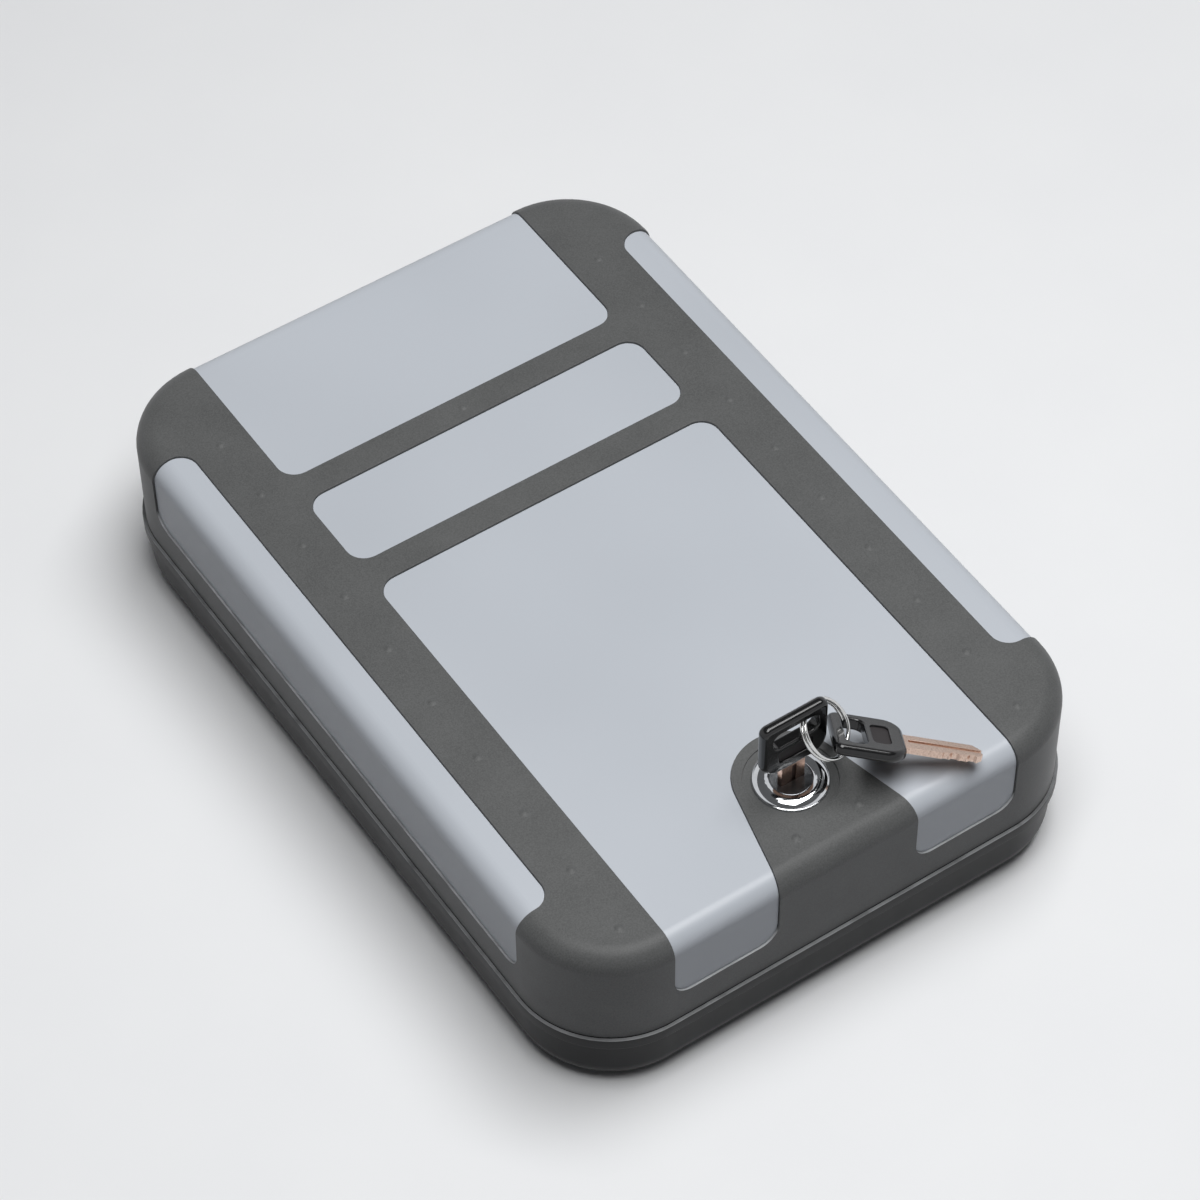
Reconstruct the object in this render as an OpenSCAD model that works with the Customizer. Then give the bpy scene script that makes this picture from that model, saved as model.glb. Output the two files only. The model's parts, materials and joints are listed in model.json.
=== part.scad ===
// Keyed lock box with a hinged lid: a deep moulded lid, a shallow tub, a wafer cam lock and two keys.
// The origin is under the middle of the closed box, on the surface that it stands on. Front is -Y, up is +Z.
// Inside the modules, y runs from the middle of the lid, and placed() then centres the whole box.

/* [Box] */
// Width of the lid, side to side
box_w = 178; // [150:1:220]
// Length of the lid, front to back
box_l = 258.2; // [230:0.2:320]
// Height of the closed box, without the keys
box_h = 60; // [56:1:80]
// Corner radius seen from above
corner_r = 30; // [24:0.5:40]

/* [Lid] */
// Height of the lid above the parting line
lid_h = 36; // [34:0.5:44]
// Radius of the rolled top edge
roll_r = 6.65; // [5.5:0.05:9]
// Gap at the parting line
parting_gap = 0.3; // [0.1:0.05:0.6]
// Wall of the pale shell
lid_wall = 2.6; // [2:0.1:3.5]
// Thickness of the dark frame over the shell
frame_t = 1.3; // [1:0.05:1.8]
// How far the pale panels lie below the frame
panel_step = 0.6; // [0.2:0.05:0.8]
// Bond line between the frame and the shell
bond_gap = 0.05; // [0.03:0.01:0.1]
// Height of the stiffening ribs under the lid
rib_h = 3; // [1.5:0.5:5]
// Thickness of those ribs
rib_t = 1.6; // [1:0.1:2.5]
// Distance of the two long ribs from the middle
rib_x = 50; // [30:1:60]
// Number of cross ribs
rib_count = 4; // [2:1:4]
// Distance between the cross ribs
rib_pitch = 51.5; // [40:0.5:54]
// Distance of the first cross rib behind the lock
rib_set = 39; // [25:1:45]

/* [Panels] */
// Width of the three middle panels
panel_w = 116; // [90:1:120]
// Corner radius of the panels
panel_r = 6; // [3:0.5:9]
// Length of the main panel, from the front of the lid
main_l = 151.7; // [120:0.1:165]
// Length of the bare name panel
name_l = 29.3; // [20:0.1:36]
// Width of the dark bars between the panels
bar_w = 9.45; // [6:0.05:12]
// How far the side strips reach in from the side
strip_in = 12.5; // [8:0.5:15]
// Length of the side strips
strip_l = 195.4; // [150:0.2:196]
// Height of the dark skirt below the panels
skirt_h = 11.6; // [8:0.1:16]
// Radius of the round end of the dark tongue at the lock
tongue_r = 16; // [14.5:0.5:20]
// Flare of the tongue's sides, in degrees
tongue_flare = 13.5; // [8:0.5:16]

/* [Dots] */
// Radius of the small raised dots
dot_r = 1.6; // [0.8:0.05:1.8]
// Height of the dots
dot_h = 0.5; // [0.2:0.05:0.7]
// Distance between the dots
dot_pitch = 23.3; // [18:0.1:25]
// Number of dots along each side
dot_count = 10; // [6:1:10]
// Distance of the dots from the side of the lid
dot_in = 21.7; // [18:0.1:26]
// Distance of the first dots from the front of the lid
dot_front = 13.3; // [9:0.1:18]
// Distance of the tongue's two dots from the middle
tongue_dot_x = 10.6; // [9:0.1:13]
// Distance of the tongue's two dots from the front of the lid
tongue_dot_in = 10.8; // [9:0.1:13]

/* [Base] */
// Wall of the tub
base_wall = 3; // [2:0.1:4]
// Thickness of the tub's floor
floor_t = 3; // [2:0.1:4]
// How far the tub's wall stands in from the lid's wall
base_inset = 0.5; // [0:0.1:1.5]
// Radius of the rolled bottom edge
base_roll = 8; // [6:0.5:10]
// How far the tub's rim stands proud of the lid
rim_proud = 1; // [0.5:0.1:2]
// Height of the rim band
rim_h = 4; // [3:0.5:6]
// Height of the lip that stands inside the lid
lip_h = 4; // [2:0.5:6]
// Thickness of that lip
lip_t = 2; // [1.5:0.1:3]
// Gap between the lip and the lid
lip_gap = 0.4; // [0.3:0.05:0.8]
// Radius of the rubber feet
foot_r = 8; // [5:0.5:10]
// How far the feet stand out below the tub
foot_h = 1.2; // [0.8:0.1:3]
// How deep the feet sit in the tub's floor
foot_sink = 1; // [0.6:0.1:1.5]
// Distance of the feet from the sides and ends of the tub
foot_in = 22; // [20:1:35]

/* [Liners] */
// Thickness of the foam pad in the tub
base_foam_t = 6; // [3:0.5:9]
// Thickness of the foam pad in the lid
lid_foam_t = 7; // [3:0.5:8]
// Gap between the lid's walls and its foam pad
foam_gap = 3; // [1:0.5:6]
// Gap between the tub's rolled bottom edge and its foam pad
base_foam_gap = 1; // [0.5:0.1:4]

/* [Hinges] */
// Distance of each hinge from the middle of the box
hinge_x = 48; // [30:1:55]
// Radius of the hinge barrels
barrel_r = 3.6; // [3.2:0.1:4.2]
// Distance of the hinge axis behind the rim
hinge_set = 4.4; // [4.2:0.1:6]
// Radius of the hinge pins
pin_r = 1.5; // [1:0.1:2]
// Running clearance on the hinge pins
pin_fit = 0.05; // [0.02:0.01:0.09]
// Length of the lid's knuckle
lid_knuckle = 12; // [8:0.5:20]
// Length of each of the tub's knuckles
base_knuckle = 9; // [6:0.5:15]
// Gap between the knuckles
knuckle_gap = 0.3; // [0.2:0.05:0.6]
// How far the lid opens, in degrees
open_angle = 105; // [95:1:110]

/* [Lock] */
// Distance of the lock from the front of the lid
lock_set = 28.1; // [26:0.1:34]
// Radius of the chrome bezel
bezel_r = 11; // [10:0.1:12]
// Height of the bezel
bezel_h = 2.2; // [1.8:0.1:3]
// Radius of the lock's barrel
lock_r = 8; // [7.5:0.1:8.5]
// Width across the barrel's two flats
lock_flats = 14; // [13.2:0.1:15]
// Length of the lock below the bezel
lock_l = 23.4; // [22:0.1:26]
// Gap round the lock in the lid
lock_gap = 0.2; // [0.1:0.05:0.4]
// Radius of the turning plug
plug_r = 5.4; // [5.2:0.05:5.8]
// Radius of the plug's head
plug_head_r = 6.2; // [6:0.1:7]
// Thickness of the plug's head
plug_head_t = 1.25; // [1:0.05:1.6]
// Running clearance of the plug
plug_fit = 0.05; // [0.02:0.01:0.09]
// Across the flats of the lock nut
nut_flats = 20; // [18:0.5:22]
// Thickness of the lock nut
nut_t = 4; // [3:0.5:5]
// Thickness of the washer over the nut
washer_t = 1; // [0.6:0.1:1.5]
// Radius of the shallow dish round the bezel
dish_r = 13.5; // [12.5:0.1:14.3]
// Depth of the dish
dish_d = 0.6; // [0.3:0.1:0.8]

/* [Wafers] */
// Number of wafers in the plug
wafer_count = 5; // [3:1:5]
// Distance between the wafers
wafer_pitch = 2.5; // [2.3:0.1:2.6]
// Thickness of a wafer
wafer_t = 1.2; // [0.8:0.05:1.4]
// Width of a wafer
wafer_w = 5.8; // [5:0.1:6.4]
// Clearance round the wafers and the key
slide_gap = 0.06; // [0.03:0.01:0.1]
// Radius of a wafer's spring
spring_r = 0.5; // [0.35:0.01:0.52]
// Radius of the spring's wire
spring_wire = 0.11; // [0.08:0.01:0.13]
// Turns of a wafer's spring
spring_turns = 5; // [4:1:6]

/* [Latch] */
// Length of the latch cam from the plug's axis
cam_l = 17; // [15:0.1:18]
// Width of the cam's arm
cam_w = 9; // [7:0.1:10]
// Thickness of the cam
cam_t = 2.5; // [2:0.1:3]
// Gap between the cam and the strike's hook when they are locked
cam_gap = 0.7; // [0.4:0.1:1]
// Thickness of the steel strike plate
strike_t = 2; // [1.5:0.1:2.5]
// Width of the strike plate
strike_w = 24; // [20:1:34]
// How far the strike's hook reaches over the cam
hook_l = 6; // [4.5:0.5:6.5]
// Height of the strike's screws above the tub's floor
strike_screw_z = 9.3; // [9:0.1:9.8]
// Distance between the strike's two screws
strike_screw_pitch = 14; // [12:1:16]
// Shank radius of the small screws
screw_r = 1.45; // [1.2:0.05:1.6]
// Head radius of the small screws
screw_head_r = 2.9; // [2.5:0.1:3]

/* [Keys] */
// Width of a key's bow
bow_w = 22; // [20:0.5:24]
// Length of a key's bow
bow_l = 21; // [20.5:0.5:24]
// Thickness of the bow
bow_t = 3.6; // [3.2:0.1:4]
// Width of the slot for the ring
eye_w = 15; // [13:0.5:15]
// Height of that slot
eye_h = 6.2; // [6.2:0.1:6.6]
// Thickness of the bar at the end of the bow
bow_bar = 3.6; // [3.4:0.1:4.2]
// Width of the key's blade
blade_w = 7.8; // [7:0.1:8]
// Thickness of the blade
blade_t = 2; // [1.6:0.1:2.2]
// Length of the blade below the bow
blade_l = 22; // [21:0.5:22.5]
// How far the blade shows between the bezel and the bow
blade_out = 6.8; // [5:0.1:9]
// Radius of the ring's wire
ring_wire = 0.55; // [0.4:0.05:0.6]
// Distance between the ring's two turns
ring_pitch = 1.25; // [1.2:0.05:1.4]
// Direction of the spare key from above, in degrees
spare_turn = -36; // [-40:1:-30]
// How far the spare key points down, in degrees
spare_dip = 12.2; // [8:0.1:13]
// Roll of the spare key about its blade, in degrees
spare_roll = 63; // [55:1:70]

/* [Hidden] */
$fn = 64;
over = 1; // how far a cutter runs past the face that it opens
tall = 2 * box_h; // longer than anything that is cut upwards
wide = 2 * box_w; // longer than anything that is cut sideways
bite = 0.3; // how far a boss or rib runs into the wall that carries it

// Levels and outlines of the box
parting_z = box_h - lid_h;
panel_bottom = parting_z + skirt_h;
shell_in = frame_t + bond_gap; // the shell's outside, in from the frame's outside
cavity_in = shell_in + lid_wall; // the lid's cavity, in from the frame's outside
rim_w = box_w + 2 * rim_proud;
rim_l = box_l + 2 * rim_proud;
tub_w = box_w - 2 * base_inset;
tub_l = box_l - 2 * base_inset;
lip_in = cavity_in + lip_gap; // the lip's outside, in from the lid's outside
mouth_in = lip_in + lip_t; // the tub's mouth, in from the lid's outside
tub_z = foot_h;
floor_z = tub_z + floor_t;
rim_z = parting_z - rim_h;
ledge_z = rim_z - base_wall; // under side of the thick rim, inside
mouth_front = -box_l / 2 + mouth_in;
foot_chamfer = 0.7;

// Panels, front to back
main_back = -box_l / 2 + main_l;
name_front = main_back + bar_w;
name_back = name_front + name_l;
rear_front = name_back + bar_w;

// Hinges
hinge_y = rim_l / 2 + hinge_set;
hinge_z = parting_z;
hinge_half = lid_knuckle / 2 + knuckle_gap + base_knuckle;
web_h = 0.85 * barrel_r;
heel_gap = 0.15; // what is left between the heel and the rim when the lid is open
heel_out = hinge_set - heel_gap;
heel_low = 2.4; // the heel's two faces, below the hinge axis
heel_high = 0.4;
y_shift = (rim_l / 2 - hinge_y - barrel_r) / 2; // centres the box, with its hinges, on the origin

// Lock
lock_y = -box_l / 2 + lock_set;
tongue_back = 1; // the middle of the tongue's round end, behind the lock
bezel_z = box_h - dish_d;
bezel_top = bezel_z + bezel_h;
housing_bottom = bezel_z - lock_l;
seat_z = box_h - cavity_in - rib_h; // where the washer bears on the lid's boss
boss_r = dish_r + 0.5;
bezel_edge = 0.8; // height of the bezel's upright edge
bezel_line = 0.3; // width of the flat line outside the bezel's dome
crown_r = 7.7; // radius of the dome's crown
crown_drop = 0.7; // how far the bezel's inner bevel goes down
washer_reach = 3.5; // width of the washer's ring
plug_sink = 0.9; // how far the plug's face lies below the bezel's crown
plug_roll = 0.35; // radius of the rolled edge of the plug's face
plug_top = bezel_top - plug_sink;
plug_shoulder = plug_top - plug_head_t;
cam_drop = 0.5; // how far the cam hangs below the housing
cam_top = housing_bottom - cam_drop;
cam_bottom = cam_top - cam_t;
tail_r = 4;
tail_flats = 5;
tail_short = 0.1; // the tail stops short of the cam's under side, so that its screw clamps
cam_washer_r = 4.2;
cam_washer_t = 0.8;
cam_hub_r = 7;
cam_room = 3; // left round the cam in the lid's foam pad
key_room = 0.8; // left below the key's tip in the plug
screw_head_t = 2;
screw_slot_w = 0.6;
screw_l = 6;

// Wafers, from the top down
wafer_cover = 2.4; // from the head's shoulder to the middle of the first wafer
wafer_top = plug_shoulder - wafer_cover;
wafer_z = [for (i = [0:wafer_count - 1]) wafer_top - i * wafer_pitch];
wafer_r = plug_r - 0.1;
tab_x = 1.6;
tab_w = 1.2;
tab_y = wafer_w / 2 + 2 * slide_gap + 2 * spring_r + 0.2;
pocket_x = -2.6;
key_cuts = [0.5, 1.1, 0.7, 1.3, 0.6]; // depth of the cut under each wafer

// Strike
strike_y = mouth_front; // front face of the plate, on the boss and the lip
strike_lift = 3; // the plate's lower edge, above the tub's floor
strike_bottom = floor_z + strike_lift;
bend_r = 1; // inside radius of the plate's bend
hook_bottom = cam_top + cam_gap;
strike_screw_y = strike_y + strike_t;
strike_z = floor_z + strike_screw_z;
boss_side = 2; // how far the boss reaches past each side of the plate
boss_w = strike_w + 2 * boss_side;
screw_bite = 5; // length of the strike screws below their heads

// Keys. A key's own frame has its shoulder at z = 0 and its bow above.
shoulder_z = bezel_top + blade_out;
key_at = [0, lock_y, shoulder_z];
eye_top = bow_l - bow_bar;
eye_mid = eye_top - eye_h / 2;
eye_r = 2.4;
field_in = 5.4; // the bow's sunk field, in from its sides
field_low = 4.4; // and up from the shoulder
field_gap = 1.6; // and down from the eye
field_sink = 0.6;
blade_root = 8;
groove_w = 1.4;
groove_d = 0.45;
groove_x = -0.4;
grip_x = 3.4; // where the ring passes the first key's eye
spare_grip_z = eye_top - 1.5; // and the spare key's eye
key_grip = key_at + [grip_x, 0, eye_mid];
spare_place = [16.2, -3.8, 3.6]; // the spare key's eye, from the first key's shoulder
spare_grip = key_at + spare_place;
ring_chord = spare_grip - key_grip;
ring_r = norm(ring_chord) / 2;
ring_mid = (key_grip + spare_grip) / 2;
ring_lean = [0.56, 0.77, 0.34]; // direction in the ring's plane, across the line from key to key

function unit(v) = v / norm(v);

// Moves a piece from the box's own middle to the part's origin
module placed() {
    translate([0, y_shift, 0]) children();
}

// Quarter of a disc, in the first quadrant
module quarter_disc(r) {
    intersection() {
        circle(r);
        square(r);
    }
}

// Rectangle with round corners, about its middle
module round_rect(w, l, r) {
    square([w - 2 * r, l], center = true);
    square([w, l - 2 * r], center = true);
    for (sx = [0, 1], sy = [0, 1])
        mirror([sx, 0]) mirror([0, sy]) translate([w / 2 - r, l / 2 - r]) quarter_disc(r);
}

// Section from the middle out to an edge whose top corner is rolled
module rolled_section(reach, roll, h) {
    square([reach - roll, h]);
    square([reach, h - roll]);
    translate([reach - roll, h - roll]) quarter_disc(roll);
}

// Block with round corners and a rolled top edge, standing on z = 0
module rolled_block(w, l, r, roll, h) {
    side = l - 2 * r;
    end = w - 2 * r;
    translate([0, side / 2, 0]) rotate([90, 0, 0]) linear_extrude(side) {
        rolled_section(w / 2, roll, h);
        mirror([1, 0]) rolled_section(w / 2, roll, h);
    }
    for (s = [0, 1]) mirror([0, s, 0]) {
        translate([-end / 2, side / 2, 0]) rotate([90, 0, 90]) linear_extrude(end) rolled_section(r, roll, h);
        for (m = [0, 1]) mirror([m, 0, 0])
            translate([end / 2, side / 2, 0]) rotate_extrude(angle = 90) rolled_section(r, roll, h);
    }
}

// The lid's outer form, taken in by a depth all over, from some way below its lower edge up to its top
module lid_form(depth, below = 0) {
    translate([0, 0, parting_z + parting_gap - below])
        rolled_block(box_w - 2 * depth, box_l - 2 * depth, corner_r - depth, max(roll_r - depth, 1.2),
            lid_h - parting_gap + below - depth);
}

// Opening seen from above, between two distances from the middle
module plan_opening(w, front, back, grow) {
    translate([0, (front + back) / 2, 0]) linear_extrude(tall)
        round_rect(w + 2 * grow, back - front + 2 * grow, panel_r + grow);
}

// Opening seen from the front or the side, from the skirt up past the top
module wall_opening(w, grow) {
    height = tall - panel_bottom + grow;
    translate([0, 0, panel_bottom - grow + height / 2]) rotate([90, 0, 0])
        linear_extrude(3 * box_l, center = true) round_rect(w + 2 * grow, height, panel_r + grow);
}

// Where the tongue's round end meets its straight sides, and how far out those reach at the front of the lid
function tongue_meet(grow) =
    [0, lock_y + tongue_back] + (tongue_r + grow) * [cos(tongue_flare), sin(tongue_flare)];
function tongue_foot(grow) =
    tongue_meet(grow)[0] + (tongue_meet(grow)[1] + box_l / 2) * tan(tongue_flare);

// Outline of the dark tongue that carries the lock, run out past the front of the lid
module tongue_outline(grow) {
    middle = lock_y + tongue_back;
    meet = tongue_meet(grow);
    foot_x = tongue_foot(grow);
    front = -box_l / 2;
    translate([0, middle]) circle(tongue_r + grow);
    polygon([
        [0, middle], meet, [foot_x, front], [foot_x, front - 20],
        [-foot_x, front - 20], [-foot_x, front], [-meet[0], meet[1]]
    ]);
}

// What rounds the two front panels' lower corners at the tongue
module tongue_fillets(grow) {
    r = panel_r + grow;
    for (s = [0, 1]) mirror([s, 0, 0])
        translate([tongue_foot(-grow), roll_r - box_l / 2, panel_bottom - grow]) rotate([90, 0, 0])
            linear_extrude(roll_r + over) difference() {
                translate([-over, -over]) square(r + over);
                translate([r, r]) circle(r);
            }
}

// All the windows through which the pale shell shows, as upright cutters
module windows(grow) {
    difference() {
        intersection() {
            plan_opening(panel_w, -box_l, main_back, grow);
            wall_opening(panel_w, grow);
        }
        translate([0, 0, -over]) linear_extrude(tall + 2 * over) tongue_outline(-grow);
        tongue_fillets(grow);
    }
    plan_opening(panel_w, name_front, name_back, grow);
    intersection() {
        plan_opening(panel_w, rear_front, box_l, grow);
        wall_opening(panel_w, grow);
    }
    for (s = [0, 1]) mirror([s, 0, 0]) intersection() {
        translate([box_w - strip_in, 0, 0]) plan_opening(box_w, -strip_l / 2, strip_l / 2, grow);
        rotate([0, 0, 90]) wall_opening(strip_l, grow);
    }
}

// Section of the lock's barrel, with its two flats
module lock_section(grow) {
    intersection() {
        circle(lock_r + grow);
        square([lock_flats + 2 * grow, 4 * lock_r], center = true);
    }
}

// One raised dot, standing on z = 0
module dot() {
    ball_r = (dot_r * dot_r + dot_h * dot_h) / (2 * dot_h);
    rotate_extrude() intersection() {
        translate([0, dot_h - ball_r]) circle(ball_r);
        translate([0, -frame_t / 2]) square([dot_r, dot_h + frame_t / 2]);
    }
}

// Hinge barrel about the x axis, between two distances
module barrel(from, to) {
    translate([from, 0, 0]) rotate([0, 90, 0]) cylinder(h = to - from, r = barrel_r);
}

// Puts a piece at both hinge axes
module at_hinges() {
    for (s = [-1, 1]) translate([s * hinge_x, hinge_y, hinge_z]) children();
}

module base_tub() {
    color("#1f2023") placed() difference() {
        union() {
            difference() {
                union() {
                    translate([0, 0, parting_z]) mirror([0, 0, 1])
                        rolled_block(tub_w, tub_l, corner_r - base_inset, base_roll, parting_z - tub_z);
                    translate([0, 0, rim_z]) linear_extrude(rim_h)
                        round_rect(rim_w, rim_l, corner_r + rim_proud);
                    translate([0, 0, rim_z]) linear_extrude(rim_h + lip_h)
                        round_rect(box_w - 2 * lip_in, box_l - 2 * lip_in, corner_r - lip_in);
                }
                translate([0, 0, ledge_z]) mirror([0, 0, 1])
                    rolled_block(tub_w - 2 * base_wall, tub_l - 2 * base_wall,
                        corner_r - base_inset - base_wall, base_roll - base_wall, ledge_z - floor_z);
                translate([0, 0, ledge_z - over]) linear_extrude(tall)
                    round_rect(box_w - 2 * mouth_in, box_l - 2 * mouth_in, corner_r - mouth_in);
            }
            // Boss that the strike plate is screwed to
            translate([-boss_w / 2, -tub_l / 2 + base_wall - bite, floor_z - bite])
                cube([boss_w, mouth_front + tub_l / 2 - base_wall + bite, ledge_z - floor_z + 2 * bite]);
            at_hinges() for (s = [0, 1]) mirror([s, 0, 0]) {
                barrel(lid_knuckle / 2 + knuckle_gap, hinge_half);
                translate([lid_knuckle / 2 + knuckle_gap, -hinge_set - rim_proud, -web_h])
                    cube([base_knuckle, hinge_set + rim_proud, web_h]);
            }
        }
        at_hinges() rotate([0, 90, 0]) cylinder(h = wide, r = pin_r + pin_fit / 2, center = true);
        for (sx = [-1, 1], sy = [-1, 1])
            translate([sx * (tub_w / 2 - foot_in), sy * (tub_l / 2 - foot_in), tub_z - over])
                cylinder(h = foot_sink + over, r = foot_r + bond_gap);
        for (s = [-1, 1]) translate([s * strike_screw_pitch / 2, strike_y, strike_z])
            rotate([90, 0, 0]) translate([0, 0, -over])
                cylinder(h = screw_bite + over, r = screw_r + bond_gap);
    }
}

module base_liner() {
    pad_w = tub_w - 2 * base_roll - 2 * base_foam_gap;
    pad_l = tub_l - 2 * base_roll - 2 * base_foam_gap;
    color("#3a3c40") placed() translate([0, 0, floor_z]) linear_extrude(base_foam_t)
        round_rect(pad_w, pad_l, corner_r - base_roll);
}

module rubber_feet() {
    color("#151515") placed() for (sx = [-1, 1], sy = [-1, 1])
        translate([sx * (tub_w / 2 - foot_in), sy * (tub_l / 2 - foot_in), 0]) {
            cylinder(h = foot_h, r1 = foot_r - foot_chamfer, r2 = foot_r);
            translate([0, 0, foot_h]) cylinder(h = foot_sink, r = foot_r);
        }
}

module strike_plate() {
    top = hook_bottom + strike_t;
    bend = strike_t + bend_r;
    color("#b9bcc0") placed() difference() {
        translate([-strike_w / 2, strike_y, 0]) rotate([90, 0, 90]) linear_extrude(strike_w) {
            translate([0, strike_bottom]) square([strike_t, top - bend - strike_bottom]);
            translate([bend, hook_bottom]) square([strike_t + hook_l - bend, strike_t]);
            translate([bend, top - bend]) mirror([1, 0]) difference() {
                quarter_disc(bend);
                circle(bend_r);
            }
        }
        for (s = [-1, 1]) translate([s * strike_screw_pitch / 2, strike_y + strike_t + over, strike_z])
            rotate([90, 0, 0]) cylinder(h = strike_t + 2 * over, r = screw_r + bond_gap);
    }
}

// Pan-head screw that points along +Z, its head below z = 0
module pan_screw(length) {
    cylinder(h = length, r = screw_r);
    mirror([0, 0, 1]) difference() {
        rotate_extrude() rolled_section(screw_head_r, screw_head_t / 2, screw_head_t);
        for (a = [0, 90]) rotate([0, 0, a])
            translate([0, 0, screw_head_t]) cube([screw_head_r, screw_slot_w, screw_head_t], center = true);
    }
}

module strike_screws() {
    color("#8f9296") placed() for (s = [-1, 1])
        translate([s * strike_screw_pitch / 2, strike_screw_y, strike_z]) rotate([90, 0, 0])
            pan_screw(strike_t + screw_bite - over);
}

module hinge_pins() {
    color("#9a9da1") placed() at_hinges()
        rotate([0, 90, 0]) cylinder(h = 2 * hinge_half, r = pin_r, center = true);
}

// Ribs and boss under the lid's top
module lid_ribs() {
    top = box_h - cavity_in;
    half_w = box_w / 2 - cavity_in + bite;
    half_l = box_l / 2 - cavity_in + bite;
    for (x = [-rib_x, rib_x])
        translate([x - rib_t / 2, -half_l, seat_z]) cube([rib_t, 2 * half_l, rib_h + bite]);
    for (i = [0:rib_count - 1])
        translate([-half_w, lock_y + rib_set + i * rib_pitch - rib_t / 2, seat_z])
            cube([2 * half_w, rib_t, rib_h + bite]);
    translate([-rib_t / 2, lock_y, seat_z]) cube([rib_t, half_l - lock_y, rib_h + bite]);
    translate([0, lock_y, seat_z]) cylinder(h = top + bite - seat_z, r = boss_r);
}

module lid_shell() {
    color("#bcc3cc") placed() difference() {
        union() {
            difference() {
                union() {
                    lid_form(shell_in);
                    intersection() {
                        lid_form(panel_step);
                        windows(-bond_gap);
                    }
                }
                lid_form(cavity_in, over);
            }
            lid_ribs();
        }
        translate([0, lock_y, 0]) linear_extrude(tall) lock_section(lock_gap);
    }
}

module lid_frame() {
    color("#5f6163") placed() {
        difference() {
            lid_form(0);
            lid_form(frame_t, over);
            windows(0);
            translate([0, lock_y, 0]) linear_extrude(tall) lock_section(lock_gap);
            translate([0, lock_y, bezel_z]) cylinder(h = dish_d + over, r = dish_r);
        }
        at_hinges() lid_hinge_knuckle();
        for (s = [-1, 1], i = [0:dot_count - 1])
            translate([s * (box_w / 2 - dot_in), -box_l / 2 + dot_front + i * dot_pitch, box_h]) dot();
        translate([0, name_back + bar_w / 2, box_h]) dot();
        for (s = [-1, 1]) translate([s * tongue_dot_x, -box_l / 2 + tongue_dot_in, box_h]) dot();
    }
}

// The lid's knuckle, its web to the skirt, and the heel that stops the lid against the rim
module lid_hinge_knuckle() {
    reach = hinge_set + rim_proud + frame_t / 2;
    rotate([90, 0, 90]) linear_extrude(lid_knuckle, center = true) difference() {
        union() {
            circle(barrel_r);
            translate([-reach, parting_gap]) square([reach, web_h - parting_gap]);
            rotate(open_angle) translate([-heel_out, -heel_low]) square([heel_out, heel_low - heel_high]);
        }
        circle(pin_r + pin_fit);
    }
}

module lid_liner() {
    pad_w = box_w - 2 * cavity_in - 2 * foam_gap;
    pad_l = box_l - 2 * cavity_in - 2 * foam_gap;
    clear_r = cam_l + cam_room;
    color("#3a3c40") placed() translate([0, 0, seat_z - lid_foam_t]) linear_extrude(lid_foam_t) difference() {
        round_rect(pad_w, pad_l, corner_r - cavity_in - foam_gap);
        translate([0, lock_y]) circle(clear_r);
        translate([-clear_r, lock_y - box_l]) square([2 * clear_r, box_l]);
    }
}

// Section of the bezel: an upright edge, a dome up to its crown, and a bevel down towards the plug
module bezel_section() {
    reach = bezel_r - bezel_line - crown_r;
    rise = bezel_h - bezel_edge;
    dome_r = (reach * reach + rise * rise) / (2 * rise);
    low = bezel_h - crown_drop;
    square([bezel_r, bezel_edge]);
    intersection() {
        translate([crown_r, bezel_h - dome_r]) quarter_disc(dome_r);
        square([bezel_r, bezel_h]);
    }
    polygon([[0, 0], [crown_r, 0], [crown_r, bezel_h], [plug_head_r, low], [0, low]]);
}

module lock_housing() {
    color("#c8ccd0") placed() translate([0, lock_y, 0]) difference() {
        union() {
            translate([0, 0, bezel_z]) rotate_extrude() bezel_section();
            translate([0, 0, housing_bottom]) linear_extrude(lock_l + bezel_h / 2) lock_section(0);
        }
        cylinder(h = tall, r = plug_r + plug_fit);
        translate([0, 0, plug_shoulder - plug_fit]) cylinder(h = tall, r = plug_head_r + plug_fit);
    }
}

module lock_washer() {
    color("#a7aaae") placed() translate([0, lock_y, seat_z - washer_t]) difference() {
        cylinder(h = washer_t, r = lock_r + washer_reach);
        cylinder(h = 3 * washer_t, r = lock_r + bond_gap, center = true);
    }
}

module lock_nut() {
    color("#b3a46a") placed() translate([0, lock_y, seat_z - washer_t - nut_t]) difference() {
        cylinder(h = nut_t, r = nut_flats / 2 / cos(30), $fn = 6);
        cylinder(h = 3 * nut_t, r = lock_r + bond_gap, center = true);
    }
}

// Section of the plug's tail and of the hole in the cam
module tail_section(grow) {
    intersection() {
        circle(tail_r + grow);
        square([3 * tail_r, tail_flats + 2 * grow], center = true);
    }
}

// Outline of one wafer: a slice of the plug with a tab for its spring
module wafer_outline(grow) {
    intersection() {
        circle(wafer_r + grow);
        union() {
            square([4 * plug_r, wafer_w + 2 * grow], center = true);
            translate([tab_x - grow, 0]) square([tab_w + 2 * grow, tab_y + grow]);
        }
    }
}

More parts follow.
